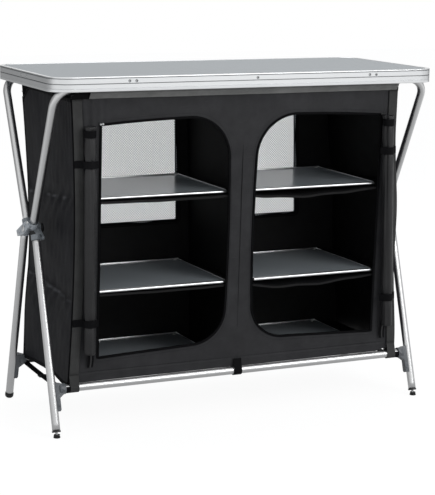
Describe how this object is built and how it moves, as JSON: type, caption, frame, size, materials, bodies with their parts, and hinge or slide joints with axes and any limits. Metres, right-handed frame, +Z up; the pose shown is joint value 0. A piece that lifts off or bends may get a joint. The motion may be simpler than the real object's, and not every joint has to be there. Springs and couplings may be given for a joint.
{
  "type": "camp kitchen cupboard",
  "caption": "Folding camp kitchen cupboard: hard worktop on crossed tube legs, with a fabric cabinet of open shelf bays, rolled-up doors and mesh windows hung below it.",
  "frame": {"origin": "on the ground under the middle of the worktop", "axes": "+X to the right along the worktop, -Y towards the person who opens the doors, +Z up"},
  "size_m": [1.0088, 0.435, 0.8405],
  "materials": {
    "tube_aluminium": "bright drawn tube, lightly satin",
    "edge_aluminium": "extruded edge profile with two fine grooves, satin anodised",
    "worktop_laminate": "light grey laminate on board, smooth and matt",
    "shelf_board": "silver-grey foil on board, semi-gloss, with a bright rounded front edge",
    "charcoal_polyester": "charcoal woven polyester, matt",
    "black_lining": "black woven polyester, matt",
    "window_net": "white see-through mesh",
    "grey_webbing": "dark grey flat-woven webbing",
    "black_webbing": "black flat-woven webbing",
    "sleeve_cloth": "mid-grey woven polyester",
    "hub_plastic": "light blue-grey moulded plastic, semi-gloss",
    "grey_plastic": "dark grey moulded plastic, fine texture",
    "black_plastic": "black moulded plastic",
    "black_rubber": "black moulded rubber",
    "bolt_steel": "plated steel"
  },
  "bodies": {
    "hubs": {"pivot_bolt_left": "bolt_steel", "pivot_bolt_right": "bolt_steel", "limiter_strap_left": "grey_webbing", "limiter_strap_right": "grey_webbing"},
    "bow_front": {"top_bow_front": "tube_aluminium", "top_sleeve_front": "sleeve_cloth", "bottom_bar_rear": "tube_aluminium", "lower_leg_rear_left": "tube_aluminium", "lower_leg_rear_right": "tube_aluminium", "hub_outer_left": "hub_plastic", "hub_outer_right": "hub_plastic", "bar_bracket_rear_left": "grey_plastic", "bar_bracket_rear_right": "grey_plastic", "foot_cap_rear_left": "black_rubber", "foot_cap_rear_right": "black_rubber"},
    "bow_rear": {"top_bow_rear": "tube_aluminium", "top_sleeve_rear": "sleeve_cloth", "bottom_bar_front": "tube_aluminium", "lower_leg_front_left": "tube_aluminium", "lower_leg_front_right": "tube_aluminium", "hub_inner_left": "grey_plastic", "hub_inner_right": "grey_plastic", "bar_bracket_front_left": "grey_plastic", "bar_bracket_front_right": "grey_plastic", "foot_plug_front_left": "black_plastic", "foot_plug_front_right": "black_plastic"},
    "worktop": {"worktop_board": "worktop_laminate", "worktop_edge_profile": "edge_aluminium", "clip_front_left": "black_plastic", "clip_front_right": "black_plastic", "clip_rear_left": "black_plastic", "clip_rear_right": "black_plastic"},
    "cabinet": {"front_panel": "charcoal_polyester", "back_panel": "charcoal_polyester", "centre_divider": "black_lining", "floor_panel": "black_lining", "centre_loop_front": "black_webbing", "centre_loop_rear": "black_webbing", "side_panel_left": "charcoal_polyester", "side_panel_right": "charcoal_polyester", "mesh_window_left": "window_net", "mesh_window_right": "window_net", "door_roll_left": "charcoal_polyester", "door_roll_right": "charcoal_polyester", "shelf_sling_upper_left": "black_lining", "shelf_sling_upper_right": "black_lining", "shelf_sling_middle_left": "black_lining", "shelf_sling_middle_right": "black_lining", "corner_webbing_front_left": "grey_webbing", "corner_webbing_front_right": "grey_webbing", "corner_webbing_rear_left": "grey_webbing", "corner_webbing_rear_right": "grey_webbing", "shelf_board_lower_left": "shelf_board", "shelf_board_lower_right": "shelf_board"},
    "levelling_foot_left": {"levelling_foot_front_left": "black_plastic"},
    "levelling_foot_right": {"levelling_foot_front_right": "black_plastic"},
    "board_upper_left": {"shelf_board_upper_left": "shelf_board"},
    "board_upper_right": {"shelf_board_upper_right": "shelf_board"},
    "board_middle_left": {"shelf_board_middle_left": "shelf_board"},
    "board_middle_right": {"shelf_board_middle_right": "shelf_board"}
  },
  "joints": [
    {"name": "frame_fold", "type": "hinge", "parent": "hubs", "child": "bow_front", "pos_m": [0, 0, 0.466], "axis": [-1, 0, 0], "range_deg": [0, 20], "deforming": ["limiter_strap_left", "limiter_strap_right", "corner_webbing_front_left", "corner_webbing_front_right", "corner_webbing_rear_left", "corner_webbing_rear_right", "centre_loop_front", "centre_loop_rear"]},
    {"name": "rear_bow_fold", "type": "hinge", "parent": "hubs", "child": "bow_rear", "pos_m": [0, 0, 0.466], "axis": [1, 0, 0], "range_deg": [0, 20]},
    {"name": "cabinet_rise", "type": "slide", "parent": "hubs", "child": "cabinet", "axis": [0, 0, 1], "range_m": [0, 0.04426]},
    {"name": "worktop_level", "type": "hinge", "parent": "bow_rear", "child": "worktop", "pos_m": [0, 0.191, 0.8153], "axis": [-1, 0, 0], "range_deg": [0, 20]},
    {"name": "levelling_screw_left", "type": "slide", "parent": "bow_rear", "child": "levelling_foot_left", "axis": [0, -0.3019, -0.9533], "range_m": [0, 0.012]},
    {"name": "levelling_screw_right", "type": "slide", "parent": "bow_rear", "child": "levelling_foot_right", "axis": [0, -0.3019, -0.9533], "range_m": [0, 0.012]},
    {"name": "board_upper_left_slide", "type": "slide", "parent": "cabinet", "child": "board_upper_left", "axis": [0, -1, 0], "range_m": [0, 0.32]},
    {"name": "board_upper_right_slide", "type": "slide", "parent": "cabinet", "child": "board_upper_right", "axis": [0, -1, 0], "range_m": [0, 0.32]},
    {"name": "board_middle_left_slide", "type": "slide", "parent": "cabinet", "child": "board_middle_left", "axis": [0, -1, 0], "range_m": [0, 0.32]},
    {"name": "board_middle_right_slide", "type": "slide", "parent": "cabinet", "child": "board_middle_right", "axis": [0, -1, 0], "range_m": [0, 0.32]}
  ],
  "couplings": [
    {"joint": "rear_bow_fold", "follows": "frame_fold", "ratio": 1},
    {"joint": "cabinet_rise", "follows": "frame_fold", "m_per_rad": 0.1268},
    {"joint": "worktop_level", "follows": "frame_fold", "ratio": 1}
  ]
}
